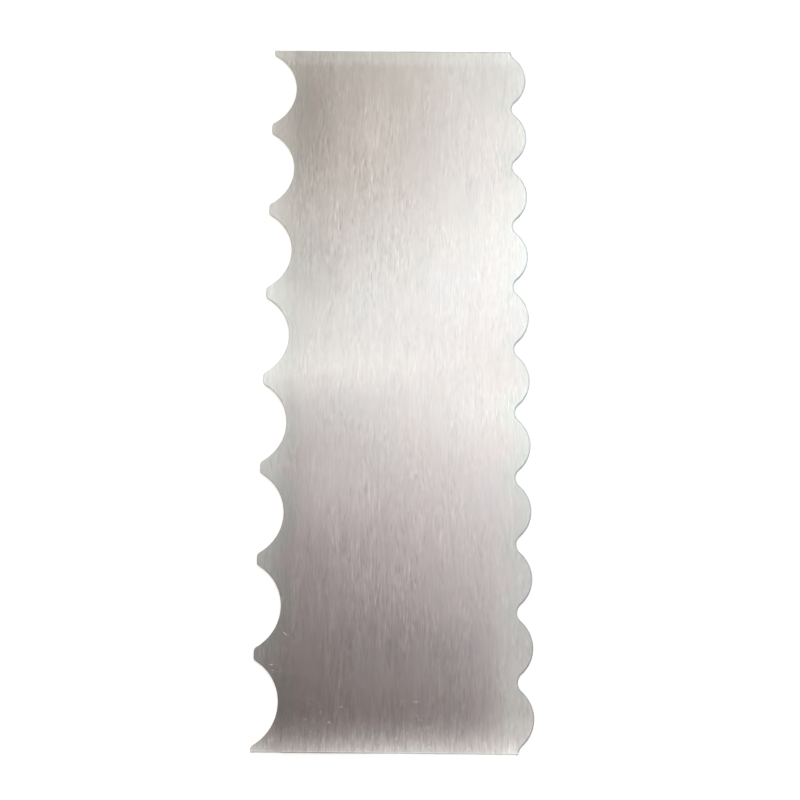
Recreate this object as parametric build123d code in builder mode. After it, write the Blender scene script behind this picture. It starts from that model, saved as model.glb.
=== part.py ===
"""Icing smoother: one flat sheet of stainless steel with a different pattern cut along each long edge.

Held upright with a short end on the turntable, it drags through soft icing: the scalloped edge leaves fat
round ribs and the waved edge leaves grooves with narrow ridges between them.

Millimetres. The sheet lies flat with its lower face on Z = 0, its length along Y and its middle over the
origin. The scalloped edge is at -X and the waved edge at +X.
"""

import os

from build123d import *

# The sheet
plate_length = 225.0
plate_width = 80.0  # over the scallop noses and the wave crests
sheet_thickness = 1.0
rim_radius = 0.2  # the deburred rim round both faces
end_corner_radius = 0.4  # the four corners where the short ends begin

# The scalloped edge
scallop_count = 8
scallop_depth = 7.3
nose_width = 3.4  # straight land left between two scallops
nose_corner_radius = 1.4

# The waved edge
wave_count = 11
wave_depth = 4.5
valley_radius = 3.4

# How much of its wall a rounding may take when a size is changed
nose_corner_share = 0.42  # of the nose width
end_corner_share = 0.2  # of the nose width
rim_share = 0.4  # of the thickness

# Lines that both edges are built from
far_y = plate_length / 2
nose_x = -plate_width / 2
crest_x = plate_width / 2
valley_x = crest_x - wave_depth

# A scallop is one arc from nose to nose, so its chord and depth give its radius
scallop_pitch = plate_length / scallop_count
scallop_chord = scallop_pitch - nose_width
scallop_radius = (scallop_chord**2 / 4 + scallop_depth**2) / (2 * scallop_depth)
scallop_centre_x = nose_x + scallop_depth - scallop_radius

# A crest and a valley are tangent arcs that meet on the straight line between their extreme points,
# at the same share of the half pitch and of the depth
wave_pitch = plate_length / wave_count
half_pitch = wave_pitch / 2
both_radii = (half_pitch**2 / wave_depth + wave_depth) / 2
crest_radius = both_radii - valley_radius
flank_share = valley_radius / both_radii
flank_x = valley_x + flank_share * wave_depth
flank_rise = flank_share * half_pitch

# A rounding never takes more than its wall can give
nose_fillet = min(nose_corner_radius, nose_corner_share * nose_width)
end_fillet = min(end_corner_radius, end_corner_share * nose_width)
rim_fillet = min(rim_radius, rim_share * sheet_thickness)


def waved_edge():
    """Round crests joined by smaller round valleys, with half a valley at each end."""
    valleys = [number * wave_pitch - far_y for number in range(wave_count + 1)]
    for low_y, high_y in zip(valleys, valleys[1:]):
        crest = (crest_x, low_y + half_pitch)
        ThreePointArc((flank_x, low_y + flank_rise), crest, (flank_x, high_y - flank_rise))
    for valley_y in valleys[1:-1]:
        bottom = (valley_x, valley_y)
        ThreePointArc((flank_x, valley_y - flank_rise), bottom, (flank_x, valley_y + flank_rise))
    TangentArc((valley_x, -far_y), (flank_x, flank_rise - far_y), tangent=(0, 1))
    TangentArc((valley_x, far_y), (flank_x, far_y - flank_rise), tangent=(0, -1))


with BuildPart() as smoother_plate:
    with BuildSketch() as outline:
        # The blank: two short ends, the line of the noses, and the waves
        with BuildLine():
            waved_edge()
            Polyline((valley_x, far_y), (nose_x, far_y), (nose_x, -far_y), (valley_x, -far_y))
        make_face()
        # The scallops, one round bite after another
        with Locations((scallop_centre_x, 0)):
            with GridLocations(0, scallop_pitch, 1, scallop_count):
                Circle(scallop_radius, mode=Mode.SUBTRACT)
        # Rounded noses and ends, so that no corner cuts a hand
        nose_line = outline.vertices().group_by(Axis.X)[0].sort_by(Axis.Y)
        fillet(nose_line[1:-1], nose_fillet)
        near_end = outline.vertices().group_by(Axis.Y)[0]
        far_end = outline.vertices().group_by(Axis.Y)[-1]
        fillet(near_end + far_end, end_fillet)
    extrude(amount=sheet_thickness)
    # The deburred rim, round the lower and the upper face
    flat_faces = smoother_plate.faces().filter_by(Axis.Z)
    fillet(flat_faces.edges(), rim_fillet)

smoother_plate.part.label = "smoother_plate"

os.makedirs("parts", exist_ok=True)
export_step(smoother_plate.part, "parts/smoother_plate.step")
print("scallop radius", round(scallop_radius, 2), "crest radius", round(crest_radius, 2))
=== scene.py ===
# %% [markdown]
# An icing smoother in brushed steel
#
# The real object is one sheet of stainless steel, about a millimetre thick, with round scallops cut along
# one long edge and rounded waves along the other. A flat sheet has little shape to look at, so almost
# everything that makes it look real is in three places: a true outline, a softly rounded rim that catches
# the light, and a brushed finish that smears reflections across the grain.
#
# The first step loads the part as its maker drew it, and keeps its box.

# %% Load the part
import math

import bpy
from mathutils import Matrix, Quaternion, Vector


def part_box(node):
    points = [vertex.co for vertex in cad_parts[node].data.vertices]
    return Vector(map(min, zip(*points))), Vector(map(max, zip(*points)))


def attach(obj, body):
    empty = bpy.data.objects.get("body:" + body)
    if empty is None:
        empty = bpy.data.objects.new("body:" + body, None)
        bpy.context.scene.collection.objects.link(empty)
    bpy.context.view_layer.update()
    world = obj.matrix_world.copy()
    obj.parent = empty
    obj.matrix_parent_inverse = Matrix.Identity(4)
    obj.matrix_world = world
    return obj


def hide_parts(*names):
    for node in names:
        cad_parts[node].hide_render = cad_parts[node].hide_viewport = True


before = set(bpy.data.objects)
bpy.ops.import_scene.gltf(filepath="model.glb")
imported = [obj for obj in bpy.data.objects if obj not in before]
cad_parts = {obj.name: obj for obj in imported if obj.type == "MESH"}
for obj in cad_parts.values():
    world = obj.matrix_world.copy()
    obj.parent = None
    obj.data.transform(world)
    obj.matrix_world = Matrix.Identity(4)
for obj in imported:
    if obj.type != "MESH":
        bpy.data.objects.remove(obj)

plate_node = "smoother_plate"
low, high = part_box(plate_node)
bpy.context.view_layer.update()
length, width, thickness = high.y - low.y, high.x - low.x, high.z - low.z
print("The sheet is", [round(1000 * side, 2) for side in (length, width, thickness)], "mm")

# %% [markdown]
# The camera
#
# The sheet is 252 pixels wide at its far end and 282 at its near end, so the camera stood close to it and
# looked down at a slant. A camera can be found from such a picture by trying places until the noses and
# crests fall where they should. That gives the point that it looks at, how far away it stands, how steeply
# it looks down, and a lens. The small turn and roll are the unsteady hand of whoever took the picture.

# %% Place the camera
aim = Vector((0.00113, -0.00656, thickness))
distance = 0.60664
down_angle = math.radians(69.40)
turn_angle = math.radians(-0.80)
roll_angle = math.radians(0.267)
lens_mm = 91.34

look = Vector((
    math.sin(turn_angle) * math.cos(down_angle),
    math.cos(turn_angle) * math.cos(down_angle),
    -math.sin(down_angle),
))
camera = bpy.data.objects.new("camera", bpy.data.cameras.new("camera"))
bpy.context.scene.collection.objects.link(camera)
camera.data.lens = lens_mm
camera.data.sensor_width = 36
camera.data.clip_start = 0.01
camera.location = aim - distance * look
camera.rotation_mode = "QUATERNION"
camera.rotation_quaternion = look.to_track_quat("-Z", "Y") @ Quaternion((0, 0, 1), -roll_angle)
bpy.context.scene.camera = camera
print("The camera stands at", [round(1000 * place) for place in camera.location], "mm")

# %% [markdown]
# Small helpers for node trees
#
# Geometry Nodes and materials are both trees of nodes joined by links. Written out one by one they fill
# pages, so a few short functions make a node, set or link its inputs, and hand back its output. An input
# given as a number is set, and an input given as another node's output is linked.

# %% Helpers for nodes
def plug(tree, socket, value):
    """Link an output into the socket, or set the socket to a plain value."""
    if isinstance(value, bpy.types.NodeSocket):
        tree.links.new(value, socket)
    elif value is not None:
        socket.default_value = value


def add(tree, kind, inputs=None, **settings):
    """A node of this kind, with its settings and the inputs given by name or number."""
    node = tree.nodes.new(kind)
    for name, value in settings.items():
        setattr(node, name, value)
    for name, value in (inputs or {}).items():
        plug(tree, node.inputs[name], value)
    return node


def calculator(tree):
    """A function that adds one Math node to the tree and returns its result."""
    def calc(operation, *values):
        node = add(tree, "ShaderNodeMath", dict(enumerate(values)), operation=operation)
        return node.outputs[0]
    return calc


def sagitta(calc, radius, run):
    """How far a circle falls away from its tangent after this run along it."""
    left = calc("SUBTRACT", calc("MULTIPLY", radius, radius), calc("MULTIPLY", run, run))
    return calc("SUBTRACT", radius, calc("SQRT", calc("MAXIMUM", left, 0.0)))


def choose(calc, test, when_true, when_false):
    """The first value where the test is 1, the second where it is 0."""
    return calc("ADD", when_false, calc("MULTIPLY", test, calc("SUBTRACT", when_true, when_false)))


print("Helpers ready")

# %% [markdown]
# The two edge patterns as rules
#
# Both edges repeat, and both are made of arcs, so each can be written as one rule: how far in does the edge
# lie at this place along the sheet? A ping-pong of the place gives the distance to the nearest nose or
# valley, which folds every repeat onto one, and then a circle gives the depth. This way the outline stays
# exact at any number of rows, where copied points would only be as good as the copy.

# %% The scalloped edge as a rule
def scallop_depth_at(calc, place, size):
    """Depth behind the nose line: a round scallop, a small rounded corner, then the flat nose."""
    radius, corner = size["Scallop Radius"], size["Nose Corner Radius"]
    half_pitch = calc("MULTIPLY", size["Scallop Pitch"], 0.5)
    from_middle = calc("SUBTRACT", half_pitch, calc("PINGPONG", place, half_pitch))
    reach = calc("ADD", radius, corner)
    rise = calc("SUBTRACT", reach, size["Scallop Depth"])
    corner_centre = calc("SQRT", calc("SUBTRACT", calc("POWER", reach, 2.0), calc("POWER", rise, 2.0)))
    join = calc("DIVIDE", calc("MULTIPLY", corner_centre, radius), reach)
    scallop = calc("SUBTRACT", size["Scallop Depth"], sagitta(calc, radius, from_middle))
    corner_run = calc("MAXIMUM", calc("SUBTRACT", corner_centre, from_middle), 0.0)
    in_scallop = calc("LESS_THAN", from_middle, join)
    return choose(calc, in_scallop, scallop, sagitta(calc, corner, corner_run))


print("Rule for the scalloped edge ready")


# %% The waved edge as a rule
def wave_depth_at(calc, place, size):
    """Depth behind the crest line: a round crest, then a smaller round valley tangent to it."""
    crest, valley = size["Crest Radius"], size["Valley Radius"]
    half_pitch = calc("MULTIPLY", size["Wave Pitch"], 0.5)
    from_valley = calc("PINGPONG", place, half_pitch)
    from_crest = calc("SUBTRACT", half_pitch, from_valley)
    join = calc("DIVIDE", calc("MULTIPLY", half_pitch, crest), calc("ADD", crest, valley))
    in_valley = calc("SUBTRACT", size["Wave Depth"], sagitta(calc, valley, from_valley))
    on_crest = calc("LESS_THAN", from_crest, join)
    return choose(calc, on_crest, sagitta(calc, crest, from_crest), in_valley)


print("Rule for the waved edge ready")

# %% [markdown]
# The sheet, grown from a grid
#
# The sheet could be drawn as an outline and filled, but a filled outline is a mess of long triangles that
# shade badly and can't carry a smooth rim. A grid whose left and right borders follow the two rules has tidy
# quads all the way. Its columns crowd towards the edges, where the shape is. The grid is thickened, closed
# underneath, and told which of its edges a bevel should round.

# %% Sizes that the tree takes
mm = 0.001
scallop_count, scallop_depth, nose_width, nose_corner = 8, 7.3 * mm, 3.4 * mm, 1.4 * mm
wave_count, wave_depth, valley_radius = 11, 4.5 * mm, 3.4 * mm
rim_radius, end_corner = 0.2 * mm, 0.4 * mm

scallop_pitch = length / scallop_count
half_chord = (scallop_pitch - nose_width) / 2
wave_pitch = length / wave_count
sizes = {
    "Length": length,
    "Nose Line": low.x,
    "Crest Line": high.x,
    "Thickness": thickness,
    "Scallop Pitch": scallop_pitch,
    "Scallop Depth": scallop_depth,
    "Scallop Radius": (half_chord**2 / scallop_depth + scallop_depth) / 2,
    "Nose Corner Radius": nose_corner,
    "Wave Pitch": wave_pitch,
    "Wave Depth": wave_depth,
    "Crest Radius": ((wave_pitch / 2) ** 2 / wave_depth + wave_depth) / 2 - valley_radius,
    "Valley Radius": valley_radius,
    "Rim Share": rim_radius / end_corner,
}
# Every nose, scallop floor, valley and crest falls on a row
rows_per_half_repeat = 5
counts = {"Rows": 2 * scallop_count * wave_count * rows_per_half_repeat, "Columns": 24}
for name, size in sizes.items():
    print(f"{name:20}{size / mm:8.2f} mm" if name != "Rim Share" else f"{name:20}{size:8.2f}")


# %% The flat grid between the two edges
def edged_grid(tree, size):
    """A flat grid that fills the sheet's outline, with its columns crowded towards the edges."""
    calc = calculator(tree)
    grid = add(tree, "GeometryNodeMeshGrid", {
        "Size X": 1.0,
        "Size Y": 1.0,
        "Vertices X": calc("ADD", size["Columns"], 1.0),
        "Vertices Y": calc("ADD", size["Rows"], 1.0),
    })
    position = add(tree, "GeometryNodeInputPosition").outputs[0]
    unit = add(tree, "ShaderNodeSeparateXYZ", {0: position}).outputs
    along = calc("MULTIPLY", unit["Y"], size["Length"])
    from_near = calc("MULTIPLY", calc("ADD", unit["Y"], 0.5), size["Length"])
    half_turn = calc("MULTIPLY", calc("ADD", unit["X"], 0.5), math.pi)
    across = calc("SUBTRACT", 0.5, calc("MULTIPLY", calc("COSINE", half_turn), 0.5))
    left = calc("ADD", size["Nose Line"], scallop_depth_at(calc, from_near, size))
    right = calc("SUBTRACT", size["Crest Line"], wave_depth_at(calc, from_near, size))
    moved = add(tree, "ShaderNodeCombineXYZ", {"X": choose(calc, across, right, left), "Y": along})
    return add(tree, "GeometryNodeSetPosition", {
        "Geometry": grid.outputs["Mesh"],
        "Position": moved.outputs[0],
    }).outputs[0]


print("The grid can be built")

# %% The distance to the rim, kept for the finish
faces_at_inner_edge = 2.0


def with_rim_distance(tree, flat):
    """The same grid, where each point also knows how far it lies from the cut edge."""
    calc = calculator(tree)
    faces_at_edge = add(tree, "GeometryNodeInputMeshEdgeNeighbors").outputs[0]
    border = add(tree, "GeometryNodeSeparateGeometry", {
        "Geometry": flat,
        "Selection": calc("LESS_THAN", faces_at_edge, faces_at_inner_edge),
    }, domain="EDGE")
    nearest = add(tree, "GeometryNodeProximity", {0: border.outputs[0]}, target_element="EDGES")
    stored = add(tree, "GeometryNodeStoreNamedAttribute", {
        "Geometry": flat,
        "Name": "rim_distance",
        "Value": nearest.outputs["Distance"],
    }, data_type="FLOAT", domain="POINT")
    return stored.outputs[0]


print("The rim distance can be stored")

# %% Thickness, a closed underside and marks for the bevel
weld_distance = 0.001 * mm
sharp_angle = math.radians(60)


def thickened(tree, flat, size):
    """The flat grid made into a closed sheet standing on Z = 0."""
    up = add(tree, "ShaderNodeCombineXYZ", {"Z": size["Thickness"]})
    raised = add(tree, "GeometryNodeExtrudeMesh", {
        "Mesh": flat,
        "Offset": up.outputs[0],
        "Offset Scale": 1.0,
        "Individual": False,
    })
    under = add(tree, "GeometryNodeFlipFaces", {0: flat})
    both = add(tree, "GeometryNodeJoinGeometry")
    for part in (under.outputs[0], raised.outputs["Mesh"]):
        tree.links.new(part, both.inputs[0])
    return add(tree, "GeometryNodeMergeByDistance", {
        "Geometry": both.outputs[0],
        "Distance": weld_distance,
    }).outputs[0]


def marked_for_bevel(tree, solid, size):
    """Every sharp edge gets a bevel weight: the four upright corners all of it, the rim its share."""
    calc = calculator(tree)
    angle = add(tree, "GeometryNodeInputMeshEdgeAngle").outputs["Unsigned Angle"]
    ends = add(tree, "GeometryNodeInputMeshEdgeVertices")
    heights = [add(tree, "ShaderNodeSeparateXYZ", {0: ends.outputs[name]}).outputs["Z"]
               for name in ("Position 1", "Position 2")]
    rise = calc("ABSOLUTE", calc("SUBTRACT", *heights))
    upright = calc("GREATER_THAN", rise, calc("MULTIPLY", size["Thickness"], 0.5))
    sharp = calc("GREATER_THAN", angle, sharp_angle)
    weight = calc("MULTIPLY", sharp, choose(calc, upright, 1.0, size["Rim Share"]))
    stored = add(tree, "GeometryNodeStoreNamedAttribute", {
        "Geometry": solid,
        "Name": "bevel_weight_edge",
        "Value": weight,
    }, data_type="FLOAT", domain="EDGE")
    return stored.outputs[0]


print("The sheet can be thickened and its sharp edges marked")


# %% A map that says which way the grain runs
def with_grain_map(tree, solid):
    """A UV map whose U runs across the sheet and V along it. The walls take their U from the height."""
    calc = calculator(tree)
    position = add(tree, "GeometryNodeInputPosition").outputs[0]
    split = add(tree, "ShaderNodeSeparateXYZ", {0: position})
    across = calc("ADD", split.outputs["X"], split.outputs["Z"])
    map_place = add(tree, "ShaderNodeCombineXYZ", {"X": across, "Y": split.outputs["Y"]})
    stored = add(tree, "GeometryNodeStoreNamedAttribute", {
        "Geometry": solid,
        "Name": "grain_map",
        "Value": map_place.outputs[0],
    }, data_type="FLOAT2", domain="CORNER")
    return stored.outputs[0]


print("The grain map can be stored")


# %% The whole tree
def sheet_tree():
    """A Geometry Nodes tree that makes the sheet from its named sizes and a finish."""
    tree = bpy.data.node_groups.new("two_edged_sheet", "GeometryNodeTree")
    for name in sizes:
        tree.interface.new_socket(name, in_out="INPUT", socket_type="NodeSocketFloat")
    for name in counts:
        tree.interface.new_socket(name, in_out="INPUT", socket_type="NodeSocketInt")
    tree.interface.new_socket("Finish", in_out="INPUT", socket_type="NodeSocketMaterial")
    tree.interface.new_socket("Sheet", in_out="OUTPUT", socket_type="NodeSocketGeometry")
    given = add(tree, "NodeGroupInput").outputs
    flat = with_rim_distance(tree, edged_grid(tree, given))
    solid = marked_for_bevel(tree, thickened(tree, flat, given), given)
    smooth = add(tree, "GeometryNodeSetShadeSmooth", {"Geometry": with_grain_map(tree, solid)})
    real = add(tree, "GeometryNodeRealizeInstances", {0: smooth.outputs[0]})
    finished = add(tree, "GeometryNodeSetMaterial", {
        "Geometry": real.outputs[0],
        "Material": given["Finish"],
    })
    add(tree, "NodeGroupOutput", {0: finished.outputs[0]})
    return tree


print("The sheet's tree can be built")

# %% [markdown]
# The brushed finish
#
# The belt that brushes a steel sheet leaves thousands of fine parallel grooves along its length. Each groove
# is a tiny mirror trough: light smears wide across the grain and stays crisp along it. The shader's own
# anisotropy gives that smear. The single grooves that the eye picks out are lighter and darker strokes, half
# a millimetre wide and a few millimetres long, and they come in clusters. Noise stretched along Y makes soft
# streaks, but on its own it looks like hair, because its marks wander. Stretched Voronoi cells make straight
# strokes with pointed ends, so both are used, and a slow noise says where they are strong. They change the
# colour much more than the slope: a slope that changes from one pixel to the next renders as leather.

# %% Noise with a grain
def grain(tree, place, across, along, seed, turn=0.0):
    """Noise from 0 to 1 whose marks are this wide and this long, turned from the sheet's length."""
    stretch = add(tree, "ShaderNodeMapping", {
        "Vector": place,
        "Location": (seed, seed * 2.0, seed * 3.0),
        "Rotation": (0.0, 0.0, turn),
        "Scale": (1.0 / across, 1.0 / along, 1.0 / across),
    }, vector_type="POINT")
    return add(tree, "ShaderNodeTexNoise", {
        "Vector": stretch.outputs[0],
        "Scale": 1.0,
        "Detail": 2.0,
        "Roughness": 0.6,
    }).outputs[0]


def smooth_step(tree, value, start, end, low_value=0.0, high_value=1.0):
    """A soft change from the low to the high value between start and end."""
    return add(tree, "ShaderNodeMapRange", {
        "Value": value,
        "From Min": start,
        "From Max": end,
        "To Min": low_value,
        "To Max": high_value,
    }, interpolation_type="SMOOTHSTEP").outputs[0]


def blend(tree, share, colour_a, colour_b):
    """A mix of two colours, the second one where the share is 1."""
    node = add(tree, "ShaderNodeMix", data_type="RGBA")
    for number, value in ((0, share), (6, colour_a), (7, colour_b)):
        plug(tree, node.inputs[number], value)
    return node.outputs[2]


def swing(calc, noise, amount):
    """Noise that runs from 0 to 1, turned into a value that swings this much either way around 0."""
    return calc("MULTIPLY", calc("SUBTRACT", noise, 0.5), 2.0 * amount)


print("Noise helpers ready")


# %% Strokes of the belt
# A stroke fades in from the rim of its cell to its core, as shares of the cell's size
stroke_fade = 0.50, 0.12


def strokes(tree, calc, place, across, along, seed, amount):
    """Straight strokes in cells this wide and this long, each paler or darker by up to this amount."""
    stretch = add(tree, "ShaderNodeMapping", {
        "Vector": place,
        "Location": (seed, seed * 2.0, 0.0),
        "Scale": (1.0 / across, 1.0 / along, 1.0),
    }, vector_type="POINT")
    flat_cells = {"Vector": stretch.outputs[0], "Scale": 1.0}
    cells = add(tree, "ShaderNodeTexVoronoi", flat_cells, voronoi_dimensions="2D").outputs
    body = smooth_step(tree, cells["Distance"], *stroke_fade)
    shade = add(tree, "ShaderNodeSeparateColor", {0: cells["Color"]}).outputs[0]
    return calc("MULTIPLY", body, swing(calc, shade, amount))


print("Strokes ready")

# %% The marks of the belt
# Each noise has the width and length of its marks, and the seed that places them
noises = {
    "fine": (0.38 * mm, 1.9 * mm, 1.7),
    "streaks": (0.75 * mm, 6.5 * mm, 4.1),
    "broad": (2.6 * mm, 30.0 * mm, 9.3),
    "scuffs": (0.5 * mm, 0.7 * mm, 11.9),
    "clusters": (7.0 * mm, 14.0 * mm, 13.7),
    "mottle": (11.0 * mm, 16.0 * mm, 15.1),
    "slow waves": (45.0 * mm, 90.0 * mm, 17.9),
    "blotches": (2.2 * mm, 3.5 * mm, 19.3),
    "flecks": (1.7 * mm, 0.8 * mm, 25.9),
}
# Each kind of stroke has the width and length of its cells, its seed, and how far it lightens or darkens
stroke_kinds = {
    "short": (0.52 * mm, 3.6 * mm, 21.3, 0.100),
    "long": (0.60 * mm, 11.0 * mm, 27.7, 0.050),
}
print("The finish mixes", len(noises), "noises and", len(stroke_kinds), "kinds of stroke")

# %% [markdown]
# Where the sheet is not like its middle
#
# A cut edge is never like the middle of a sheet. Along the cut the steel is a little greyer. On the waved
# side a thin dark line along the rim is painted shade. The far end has a pale strip of painted light, and the
# near half a pale margin on its waved side, partly a greener tint and partly painted light. The near end is
# scuffed, and the light on its rim is a painted highlight. The sheared wall between the two faces was never
# brushed, so it is dull and darker, and along its length it carries painted shade, with a painted shadow line
# where the near end begins.
# Each of these zones is a mask from 0 to 1, made from the distance to the rim that the mesh carries, or from
# the place.
#
# The shears also bent the margins by a few degrees, which is too little to see as shape but plain to see in
# the reflections, so it is a bump.

# %% Where the zones begin and end
# Each fade has the place where it is still 0 and the place where it is 1. Where two more numbers follow, it
# runs between those instead.
fades = {
    "rim line": (0.46 * mm, 0.26 * mm),
    "under the top": (thickness - 0.02 * mm, thickness - 0.10 * mm),
    "over the bottom": (0.02 * mm, 0.10 * mm),
    "margin": (8.0 * mm, 1.0 * mm),
    "margin along": (10.0 * mm, -35.0 * mm, 0.45, 1.0),
    "far strip": (high.y - 6.5 * mm, high.y - 3.0 * mm),
    "far strip across": (-22.0 * mm, 30.0 * mm, 0.95, 0.40),
    "scuffed end": (low.y + 24.0 * mm, low.y + 6.0 * mm),
    "scuffed across": (high.x - 8.0 * mm, high.x - 20.0 * mm),
    "lip": (low.y + 9.0 * mm, low.y + 3.0 * mm),
    "right margin": (high.x - 15.0 * mm, high.x - 6.0 * mm),
    "near half": (low.y + 70.0 * mm, low.y + 10.0 * mm),
    "rosy band": (36.0 * mm, 10.0 * mm),
    "rosy across": (24.0 * mm, 4.0 * mm),
    "straw along": (15.0 * mm, 75.0 * mm, 0.0, 0.8),
    "straw across": (28.0 * mm, -12.0 * mm),
}
ragged_by = 1.5 * mm
near_end_reach = 0.6 * mm
rosy_middle = -58.0 * mm
pale_lost_on_lip = 0.5
print("The zones have", len(fades), "fades")


# %% Zones along the edges
def edge_zones(tree, calc, place, streaks):
    """Masks by name: the margins, the ends, the two tinted areas, the rim lines and the cut wall."""
    split = add(tree, "ShaderNodeSeparateXYZ", {0: place})
    across, along, height = (split.outputs[axis] for axis in ("X", "Y", "Z"))
    rim_distance = add(tree, "ShaderNodeAttribute", attribute_name="rim_distance").outputs["Fac"]
    ragged = swing(calc, streaks, ragged_by)

    def fade(value, name):
        return smooth_step(tree, value, *fades[name])

    def where(one, other):
        return calc("MULTIPLY", one, other)

    rim_line = fade(rim_distance, "rim line")
    on_lip = fade(along, "lip")
    off_lip = calc("SUBTRACT", 1.0, calc("MULTIPLY", on_lip, pale_lost_on_lip))
    from_rosy_middle = calc("ABSOLUTE", calc("SUBTRACT", along, rosy_middle))
    return {
        "margin": where(fade(calc("ADD", rim_distance, ragged), "margin"), fade(along, "margin along")),
        "far": where(fade(calc("ADD", along, ragged), "far strip"), fade(across, "far strip across")),
        "scuffed": where(fade(along, "scuffed end"), fade(across, "scuffed across")),
        "lip": on_lip,
        "pale": where(where(fade(across, "right margin"), fade(along, "near half")), off_lip),
        "rosy": where(fade(from_rosy_middle, "rosy band"), fade(across, "rosy across")),
        "straw": where(fade(along, "straw along"), fade(across, "straw across")),
        # The dark rim line on the waved side is painted shade, and the bright rim line at the near end a
        # painted highlight
        "painted_rim_shade": where(rim_line, calc("GREATER_THAN", across, 0.0)),
        "painted_rim_highlight": where(rim_line, calc("LESS_THAN", along, low.y + near_end_reach)),
        "wall": where(fade(height, "under the top"), fade(height, "over the bottom")),
    }


print("Zones ready")

# %% The bent margins
lip_reach, lip_rise, lip_power = 14.0 * mm, 0.54 * mm, 3.0
nose_reach, nose_rise, nose_power = 8.5 * mm, 0.23 * mm, 2.0
corner_reach, corner_length, corner_drop, corner_power = 20.0 * mm, 75.0 * mm, 0.95 * mm, 2.0
# The lip rises less to the right
lip_across = 0.0, high.x, 1.0, 0.6


def margin_height(tree, calc, place):
    """How far the sheet bends up at its near end and its noses, and down at its near right corner."""
    split = add(tree, "ShaderNodeSeparateXYZ", {0: place})
    across, along = split.outputs["X"], split.outputs["Y"]

    def ramp(from_edge, reach, power):
        into = calc("SUBTRACT", 1.0, calc("DIVIDE", from_edge, reach))
        return calc("POWER", calc("MAXIMUM", into, 0.0), power)

    from_near = calc("SUBTRACT", along, low.y)
    lip = calc("MULTIPLY", ramp(from_near, lip_reach, lip_power), lip_rise)
    lip = calc("MULTIPLY", lip, smooth_step(tree, across, *lip_across))
    noses = calc("MULTIPLY", ramp(calc("SUBTRACT", across, low.x), nose_reach, nose_power), nose_rise)
    from_right = calc("SUBTRACT", high.x, across)
    corner = calc("MULTIPLY", ramp(from_right, corner_reach, corner_power), corner_drop)
    corner = calc("MULTIPLY", corner, ramp(from_near, corner_length, corner_power))
    return calc("SUBTRACT", calc("ADD", lip, noses), corner)


print("The near end leans by", round(lip_power * lip_rise / lip_reach, 3))
print("The noses lean by", round(nose_power * nose_rise / nose_reach, 3))

# %% [markdown]
# Patches of painted shade and light, and flecks
#
# A used sheet has marks that follow no edge: places where the belt bit harder, small bright flecks, and a
# scratch here and there. Soft darker patches of painted shade and lighter ones of painted light lie where the
# sheet's shading is uneven. No rule gives their places, so each patch is a soft oval laid where the real
# sheet has one.
# Only the noise inside it is random.

# %% Soft oval patches
# A patch fades in from its rim to here, as a share of the way out from its middle
oval_fade = 1.0, 0.2


def oval(tree, calc, place, middle_x, middle_y, half_width, half_length):
    """A soft oval on the sheet: 1 in its middle and 0 outside its rim."""
    split = add(tree, "ShaderNodeSeparateXYZ", {0: place}).outputs
    aside = calc("DIVIDE", calc("SUBTRACT", split["X"], middle_x), half_width)
    away = calc("DIVIDE", calc("SUBTRACT", split["Y"], middle_y), half_length)
    from_middle = calc("SQRT", calc("ADD", calc("MULTIPLY", aside, aside), calc("MULTIPLY", away, away)))
    return smooth_step(tree, from_middle, *oval_fade)


def patched(tree, calc, place, patches):
    """The patches of one kind added up, each times its own amount."""
    total = 0.0
    for *shape, amount in patches.values():
        total = calc("ADD", total, calc("MULTIPLY", oval(tree, calc, place, *shape), amount))
    return total


# Each patch has its middle across and along the sheet, its half width and half length, and its amount
# Painted shade where the amount is above 0, and painted light where it is below 0
painted_shade_and_light = {
    "far left corner": (-27.0 * mm, 86.0 * mm, 11.0 * mm, 30.0 * mm, 0.12),
    "far right corner": (30.0 * mm, 104.0 * mm, 14.0 * mm, 22.0 * mm, 0.07),
    "above the pale band": (-24.0 * mm, 36.0 * mm, 14.0 * mm, 20.0 * mm, 0.08),
    "towards the near end": (0.0 * mm, -81.0 * mm, 40.0 * mm, 12.0 * mm, 0.06),
    "painted light beside the far corner": (-8.0 * mm, 85.0 * mm, 9.0 * mm, 16.0 * mm, -0.09),
    "painted light below the pale band": (-18.0 * mm, -37.0 * mm, 16.0 * mm, 18.0 * mm, -0.09),
}
well_brushed = {
    "far half": (-14.0 * mm, 63.0 * mm, 28.0 * mm, 50.0 * mm, 0.9),
    "near half": (0.0 * mm, -50.0 * mm, 28.0 * mm, 42.0 * mm, 0.8),
}
flecked = {
    "near left": (-19.0 * mm, -101.0 * mm, 15.0 * mm, 6.0 * mm, 1.0),
    "near left corner": (-32.0 * mm, -108.0 * mm, 8.0 * mm, 4.0 * mm, 0.8),
    "last scallop": (-33.0 * mm, -89.0 * mm, 6.0 * mm, 5.0 * mm, 1.0),
    "last nose": (-30.0 * mm, -79.0 * mm, 6.0 * mm, 4.0 * mm, 0.8),
    "near middle": (5.0 * mm, -99.0 * mm, 12.0 * mm, 7.0 * mm, 0.5),
}
print("Patches:", len(painted_shade_and_light), "stains,", len(well_brushed), "well brushed,", len(flecked), "flecked")


# %% Scratches and flecks
# Only the crests of a noise become marks: the higher ones stand alone anywhere on the sheet, and are faint
fleck_crest, lone_crest = (0.63, 0.72), (0.75, 0.80)
lone_fleck, lone_scratch = 0.25, 0.15
scratch_width, scratch_length = 0.3 * mm, 12.0 * mm
# Each family of scratches has its seed, and its slant in degrees
scratch_families = (33.1, 28.0), (47.9, -17.0)


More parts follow.
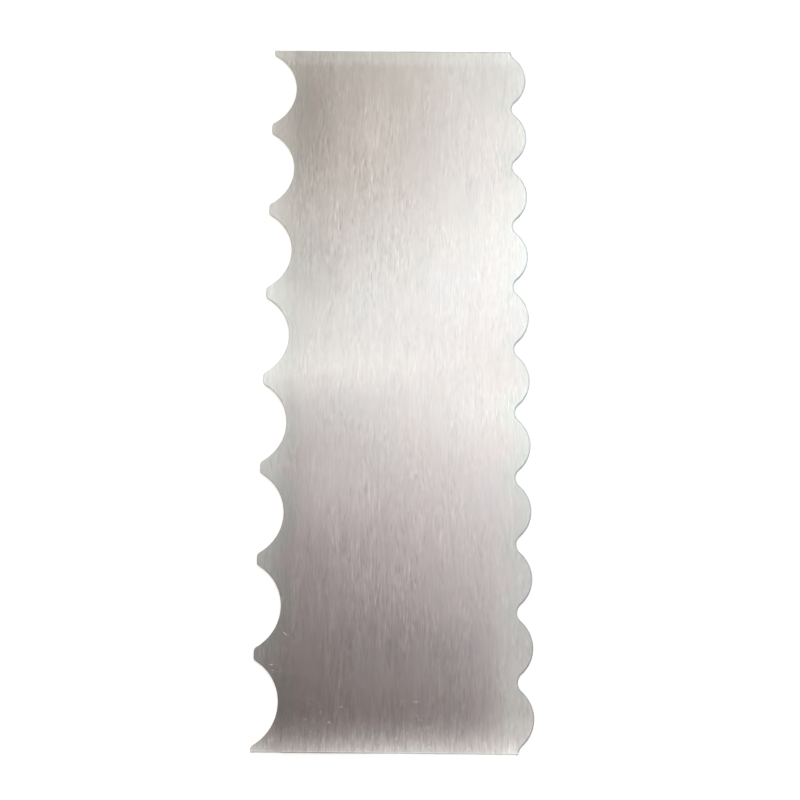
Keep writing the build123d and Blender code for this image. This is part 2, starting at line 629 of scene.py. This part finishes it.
def stray_marks(tree, calc, place, flecks):
    """A mask of the few marks that stand out: slanted scratches, and flecks that mostly keep together."""
    together = smooth_step(tree, flecks, *fleck_crest)
    together = calc("MULTIPLY", together, patched(tree, calc, place, flecked))
    marks = calc("MAXIMUM", together, smooth_step(tree, flecks, *lone_crest, 0.0, lone_fleck))
    for seed, slant in scratch_families:
        scratch = grain(tree, place, scratch_width, scratch_length, seed, math.radians(slant))
        marks = calc("MAXIMUM", marks, smooth_step(tree, scratch, *lone_crest, 0.0, lone_scratch))
    return marks


print("Marks ready")

# %% [markdown]
# The steel itself
#
# Steel is a metal, so its base colour is the colour of its reflections: a pale warm grey. The strokes make it
# lighter or darker by up to a tenth, and by two tenths where the belt bit harder. The roughness hardly
# changes, except on the cut wall. Three bumps lie over each other: the slow waves of a sheet that was never
# quite flat, the bends that the shears left along the margins, and the grooves.

# %% The colour of the cut wall
# The cut wall is dull and darker than the face, and its changes along the length are painted shade and light
scallop_wall = (0.56, 0.565, 0.55, 1.0)
# Going to the right: where each further shade begins, where it is full, and the shade
wall_shades = {
    # Painted shadow: the darkest line, where the near end begins
    "painted shadow where the near end begins": (-33.0 * mm, -30.0 * mm, (0.20, 0.205, 0.20, 1.0)),
    "near end": (-26.0 * mm, 6.0 * mm, (0.70, 0.72, 0.71, 1.0)),
    # Painted shade under the waved rim
    "waves": (34.0 * mm, 35.5 * mm, (0.45, 0.49, 0.49, 1.0)),
}


def wall_colour(tree, place):
    """Grey on the scallops, with painted shade: darkest where the near end begins, paler along that end, dark
    on the waves.
    """
    across = add(tree, "ShaderNodeSeparateXYZ", {0: place}).outputs["X"]
    colour = scallop_wall
    for start, end, shade in wall_shades.values():
        colour = blend(tree, smooth_step(tree, across, start, end), colour, shade)
    return colour


print("The wall has", 1 + len(wall_shades), "shades")

# %% The colour of the steel
warm_steel, cool_steel = (0.729, 0.699, 0.670, 1.0), (0.714, 0.701, 0.680, 1.0)
mottle_fade = 0.38, 0.62
# Each zone's shade, and how much of it the zone takes
zone_shades = {
    "straw": ((0.742, 0.697, 0.640, 1.0), 1.0),
    "rosy": ((0.742, 0.690, 0.672, 1.0), 1.0),
    "margin": ((0.667, 0.700, 0.655, 1.0), 1.0),
    "lip": ((0.745, 0.712, 0.662, 1.0), 0.6),
    # Painted light, with a greener tint, on the near half of the waved margin
    "pale": ((0.812, 0.862, 0.800, 1.0), 1.0),
    # Painted light along the far end, for the brighter reflection of its rolled end
    "far": ((0.825, 0.825, 0.790, 1.0), 1.0),
    # Painted shade: a dark line along the waved rim
    "painted_rim_shade": ((0.40, 0.47, 0.48, 1.0), 0.85),
    # A painted highlight along the rim of the near end
    "painted_rim_highlight": ((0.94, 0.99, 1.00, 1.0), 1.0),
}


def steel_colour(tree, calc, place, noise, zone, change):
    """Warm grey, with a shade of its own in each zone, some of them painted light and shade, and lightened or
    darkened by the change.
    """
    colour = blend(tree, smooth_step(tree, noise["mottle"], *mottle_fade), warm_steel, cool_steel)
    for name, (shade, share) in zone_shades.items():
        colour = blend(tree, calc("MULTIPLY", zone[name], share), colour, shade)
    colour = blend(tree, zone["wall"], colour, wall_colour(tree, place))
    return add(tree, "ShaderNodeVectorMath", {
        0: colour,
        "Scale": calc("ADD", 1.0, change),
    }, operation="SCALE").outputs[0]


print("The steel has", len(zone_shades), "shades along its edges")

# %% Lighter and darker marks
cluster_fade = 0.38, 0.62, 0.60, 1.40
bite_along = low.y + 30.0 * mm, low.y + 70.0 * mm, 1.0, 0.7
scuff_fade = 0.60, 0.72
# How far each kind of mark lightens or darkens the steel
amounts = {
    "streaks": 0.035,
    "broad": 0.035,
    "fine": 0.06,
    "scuffs": 0.28,
    "streaks on the lip": 0.20,
    "blotches": 0.035,
    "stray marks": 0.65,
}


def belt_strength(tree, calc, place, clusters):
    """How strong the strokes are: they come in clusters, and the belt bit harder in some places."""
    along = add(tree, "ShaderNodeSeparateXYZ", {0: place}).outputs["Y"]
    bite = calc("ADD", smooth_step(tree, along, *bite_along), patched(tree, calc, place, well_brushed))
    return calc("MULTIPLY", smooth_step(tree, clusters, *cluster_fade), bite)


def brightness_change(tree, calc, place, noise, zone, strength):
    """All marks added up, as a share of the steel's brightness above or below 0."""
    short, long = (strokes(tree, calc, place, *stroke_kinds[kind]) for kind in ("short", "long"))
    change = calc("ADD", short, calc("ADD", long, swing(calc, noise["streaks"], amounts["streaks"])))
    change = calc("ADD", calc("MULTIPLY", change, strength), swing(calc, noise["broad"], amounts["broad"]))
    change = calc("ADD", change, swing(calc, noise["fine"], amounts["fine"]))
    scuffs = calc("MULTIPLY", smooth_step(tree, noise["scuffs"], *scuff_fade), amounts["scuffs"])
    change = calc("ADD", change, calc("MULTIPLY", zone["scuffed"], scuffs))
    lip_streaks = swing(calc, noise["streaks"], amounts["streaks on the lip"])
    change = calc("ADD", change, calc("MULTIPLY", zone["lip"], lip_streaks))
    change = calc("ADD", change, swing(calc, noise["blotches"], amounts["blotches"]))
    # The patches take away painted shade, and their amounts below 0 add painted light
    change = calc("SUBTRACT", change, patched(tree, calc, place, painted_shade_and_light))
    stray = stray_marks(tree, calc, place, noise["flecks"])
    return calc("ADD", change, calc("MULTIPLY", stray, amounts["stray marks"]))


print("The marks change the brightness in", len(amounts) + len(stroke_kinds), "ways")

# %% Roughness and bumps
steel_roughness, roughness_swing, wall_roughness = 0.195, 0.008, 0.15
slow_wave_height, groove_depth = 0.10 * mm, 0.002 * mm


def marked_roughness(calc, noise, zone, strength):
    """Nearly the same all over, and rougher on the cut wall."""
    roughness = calc("ADD", steel_roughness, swing(calc, noise["broad"], roughness_swing))
    grooves = calc("MULTIPLY", swing(calc, noise["streaks"], roughness_swing), strength)
    roughness = calc("ADD", roughness, grooves)
    return calc("ADD", roughness, calc("MULTIPLY", zone["wall"], wall_roughness))


def bumped_normal(tree, calc, place, noise):
    """The slow waves, the bent margins, whose height is in metres already, and the grooves."""
    normal = None
    for height, rise in (
        (noise["slow waves"], slow_wave_height),
        (margin_height(tree, calc, place), 1.0),
        (noise["streaks"], groove_depth),
    ):
        normal = add(tree, "ShaderNodeBump", {
            "Strength": 1.0,
            "Distance": rise,
            "Height": height,
            "Normal": normal,
        }).outputs[0]
    return normal


print("Roughness and bumps ready")


# %% The brushed steel
def brushed_steel():
    """Stainless steel brushed along Y, and less well brushed along its edges."""
    steel = bpy.data.materials.new("brushed_steel")
    steel.use_nodes = True
    tree = steel.node_tree
    tree.nodes.clear()
    calc = calculator(tree)
    place = add(tree, "ShaderNodeTexCoord").outputs["Object"]
    noise = {name: grain(tree, place, *marks) for name, marks in noises.items()}
    zone = edge_zones(tree, calc, place, noise["streaks"])
    strength = belt_strength(tree, calc, place, noise["clusters"])
    change = brightness_change(tree, calc, place, noise, zone, strength)
    tangent = add(tree, "ShaderNodeTangent", direction_type="UV_MAP", uv_map="grain_map")
    shader = add(tree, "ShaderNodeBsdfPrincipled", {
        "Base Color": steel_colour(tree, calc, place, noise, zone, change),
        "Metallic": 1.0,
        "Roughness": marked_roughness(calc, noise, zone, strength),
        "Anisotropic": 1.0,
        "Normal": bumped_normal(tree, calc, place, noise),
        "Tangent": tangent.outputs[0],
    })
    add(tree, "ShaderNodeOutputMaterial", {"Surface": shader.outputs[0]})
    return steel


steel = brushed_steel()
print("The finish has", len(steel.node_tree.nodes), "nodes")

# %% [markdown]
# Growing the sheet
#
# The tree runs as a modifier on an empty mesh, its inputs set by their identifiers. A bevel follows it and
# rounds the marked edges. Then the result is turned into a plain mesh, and the carrier is thrown away.

# %% Grow the sheet
bevel_segments = 4


def grown_sheet(name):
    """The sheet as a plain mesh object at the origin."""
    carrier = bpy.data.objects.new("carrier", bpy.data.meshes.new("carrier"))
    bpy.context.scene.collection.objects.link(carrier)
    nodes = carrier.modifiers.new("sheet", "NODES")
    nodes.node_group = sheet_tree()
    inputs = {**sizes, **counts, "Finish": steel}
    for item in nodes.node_group.interface.items_tree:
        if item.in_out == "INPUT":
            nodes[item.identifier] = inputs[item.name]
    bevel = carrier.modifiers.new("rim", "BEVEL")
    bevel.limit_method = "WEIGHT"
    bevel.width = end_corner
    bevel.segments = bevel_segments
    bevel.use_clamp_overlap = False
    bevel.harden_normals = True
    ready = carrier.evaluated_get(bpy.context.evaluated_depsgraph_get())
    sheet = bpy.data.objects.new(name, bpy.data.meshes.new_from_object(ready))
    sheet.data.name = name
    bpy.context.scene.collection.objects.link(sheet)
    bpy.data.objects.remove(carrier)
    return sheet


sheet = grown_sheet("brushed_sheet")
triangles = sum(len(face.vertices) - 2 for face in sheet.data.polygons)
print("The sheet has", triangles, "triangles and attributes", [item.name for item in sheet.data.attributes])

# %% Let the sheet stand for the part
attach(sheet, "root")
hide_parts(plate_node)
print("The sheet rides on the part's one body")

# %% [markdown]
# The floor and the light
#
# Polished metal has no colour of its own to speak of: it shows what stands around it. So the studio matters
# as much as the steel. A dark warm ceiling makes the deep end of the sheet, and pale warm walls lift all
# that leans outwards. Two large softboxes make the bright side, a narrow one is mirrored across the far
# half, and a wide faint one lights the left. Two small ones hang low and give the pale band in the middle its
# crisp near edge, because a near lamp mirrors sharply where a far one smears. The lamps and walls were found
# as the camera was, by trying places, sizes and tints until the sheet's shading fell where it should.

# %% The floor
floor_half, floor_gap = 3.0, 0.05 * mm
floor_paint, floor_glow = 0.85, 0.6


def neutral(level):
    """A colour without any tint."""
    return (level, level, level, 1.0)


def floor_finish():
    """White that stays white to the eye and in reflections, and still takes a shadow."""
    white = bpy.data.materials.new("floor_white")
    white.use_nodes = True
    tree = white.node_tree
    tree.nodes.clear()
    calc = calculator(tree)
    rays = add(tree, "ShaderNodeLightPath").outputs
    mirrored = calc("ADD", rays["Is Camera Ray"], rays["Is Glossy Ray"])
    seen = calc("ADD", mirrored, rays["Is Transmission Ray"])
    paint = add(tree, "ShaderNodeBsdfDiffuse", {"Color": neutral(floor_paint)})
    glow = add(tree, "ShaderNodeEmission", {"Strength": calc("MULTIPLY", seen, floor_glow)})
    both = add(tree, "ShaderNodeAddShader", {0: paint.outputs[0], 1: glow.outputs[0]})
    add(tree, "ShaderNodeOutputMaterial", {"Surface": both.outputs[0]})
    return white


floor_mesh = bpy.data.meshes.new("floor")
around = (-1, -1), (1, -1), (1, 1), (-1, 1)
corners = [(x * floor_half, y * floor_half, low.z - floor_gap) for x, y in around]
floor_mesh.from_pydata(corners, [], [(0, 1, 2, 3)])
floor = bpy.data.objects.new("floor", floor_mesh)
bpy.context.scene.collection.objects.link(floor)
floor.data.materials.append(floor_finish())
print("Floor laid")


# %% The softboxes
def softbox(name, centre, size, turn, brightness, tint):
    """A flat lamp above the sheet that faces down. A brightness of 1 shows as white in a mirror."""
    lamp = bpy.data.lights.new(name, "AREA")
    lamp.shape = "RECTANGLE"
    lamp.size, lamp.size_y = size
    lamp.energy = brightness * math.pi * size[0] * size[1]
    lamp.color = tint
    box = bpy.data.objects.new(name, lamp)
    bpy.context.scene.collection.objects.link(box)
    box.location = centre
    box.rotation_euler.z = turn
    box.visible_camera = False


# Lamps that overlap hang at different heights, because a ray meets only one of two in the same plane
softbox("right_softbox", (0.468, 0.387, 1.00), (0.798, 0.966), 0.878, 0.968, (1.02, 1.0, 1.05))
softbox("far_softbox", (0.484, 0.669, 1.01), (0.590, 0.850), 0.504, 1.421, (0.90, 1.0, 0.97))
softbox("band_softbox", (0.149, 0.520, 1.02), (0.548, 0.046), 0.383, 0.856, (0.75, 1.0, 1.03))
softbox("left_softbox", (-0.539, 0.462, 1.03), (0.768, 0.226), 0.258, 0.188, (1.15, 1.0, 0.75))
softbox("low_softbox", (-0.029, 0.101, 0.25), (0.044, 0.018), 0.402, 0.693, (0.85, 1.0, 0.92))
softbox("low_right_softbox", (0.098, 0.073, 0.26), (0.128, 0.022), -0.358, 0.543, (0.80, 1.0, 0.95))
print("Six softboxes hung")

# %% The room
# Brightness straight ahead, how much is added to the right, the least brightness, and the tint
warm_walls = 0.648, -0.629, 0.20, (1.20, 1.0, 0.82)
ceiling = 0.042, 0.232, 0.02, (1.66, 1.0, 1.02)
low_wall_foot, low_wall_top, overhead = 0.50, 0.85, 0.42
# How high each part fades in, where 0 is level with the sheet and 1 is straight above
low_wall_fade, warm_fade = (0.05, 0.40), (0.45, 0.62)
ceiling_fade, overhead_fade = (0.612, 0.920), (0.989, 0.999)


def sided(tree, calc, right, ahead, gain, darkest, tint):
    """A tint that is lighter on one side of the room than on the other."""
    level = calc("MAXIMUM", calc("ADD", calc("MULTIPLY", right, gain), ahead), darkest)
    return add(tree, "ShaderNodeVectorMath", {0: tint, "Scale": level}, operation="SCALE").outputs[0]


def studio():
    """Neutral walls near the floor, warm ones above them, and a dark warm ceiling."""
    world = bpy.data.worlds.new("studio")
    bpy.context.scene.world = world
    world.use_nodes = True
    tree = world.node_tree
    tree.nodes.clear()
    calc = calculator(tree)
    outward = add(tree, "ShaderNodeTexCoord").outputs["Generated"]
    direction = add(tree, "ShaderNodeSeparateXYZ", {0: outward}).outputs
    right, up = direction["X"], direction["Z"]
    room = blend(tree, smooth_step(tree, up, *low_wall_fade), neutral(low_wall_foot), neutral(low_wall_top))
    room = blend(tree, smooth_step(tree, up, *warm_fade), room, sided(tree, calc, right, *warm_walls))
    room = blend(tree, smooth_step(tree, up, *ceiling_fade), room, sided(tree, calc, right, *ceiling))
    # Only a view from straight above mirrors this patch
    room = blend(tree, smooth_step(tree, up, *overhead_fade), room, neutral(overhead))
    background = add(tree, "ShaderNodeBackground", {"Color": room, "Strength": 1.0})
    add(tree, "ShaderNodeOutputWorld", {"Surface": background.outputs[0]})


studio()
bpy.context.scene.view_settings.view_transform = "Standard"
print("Studio ready")
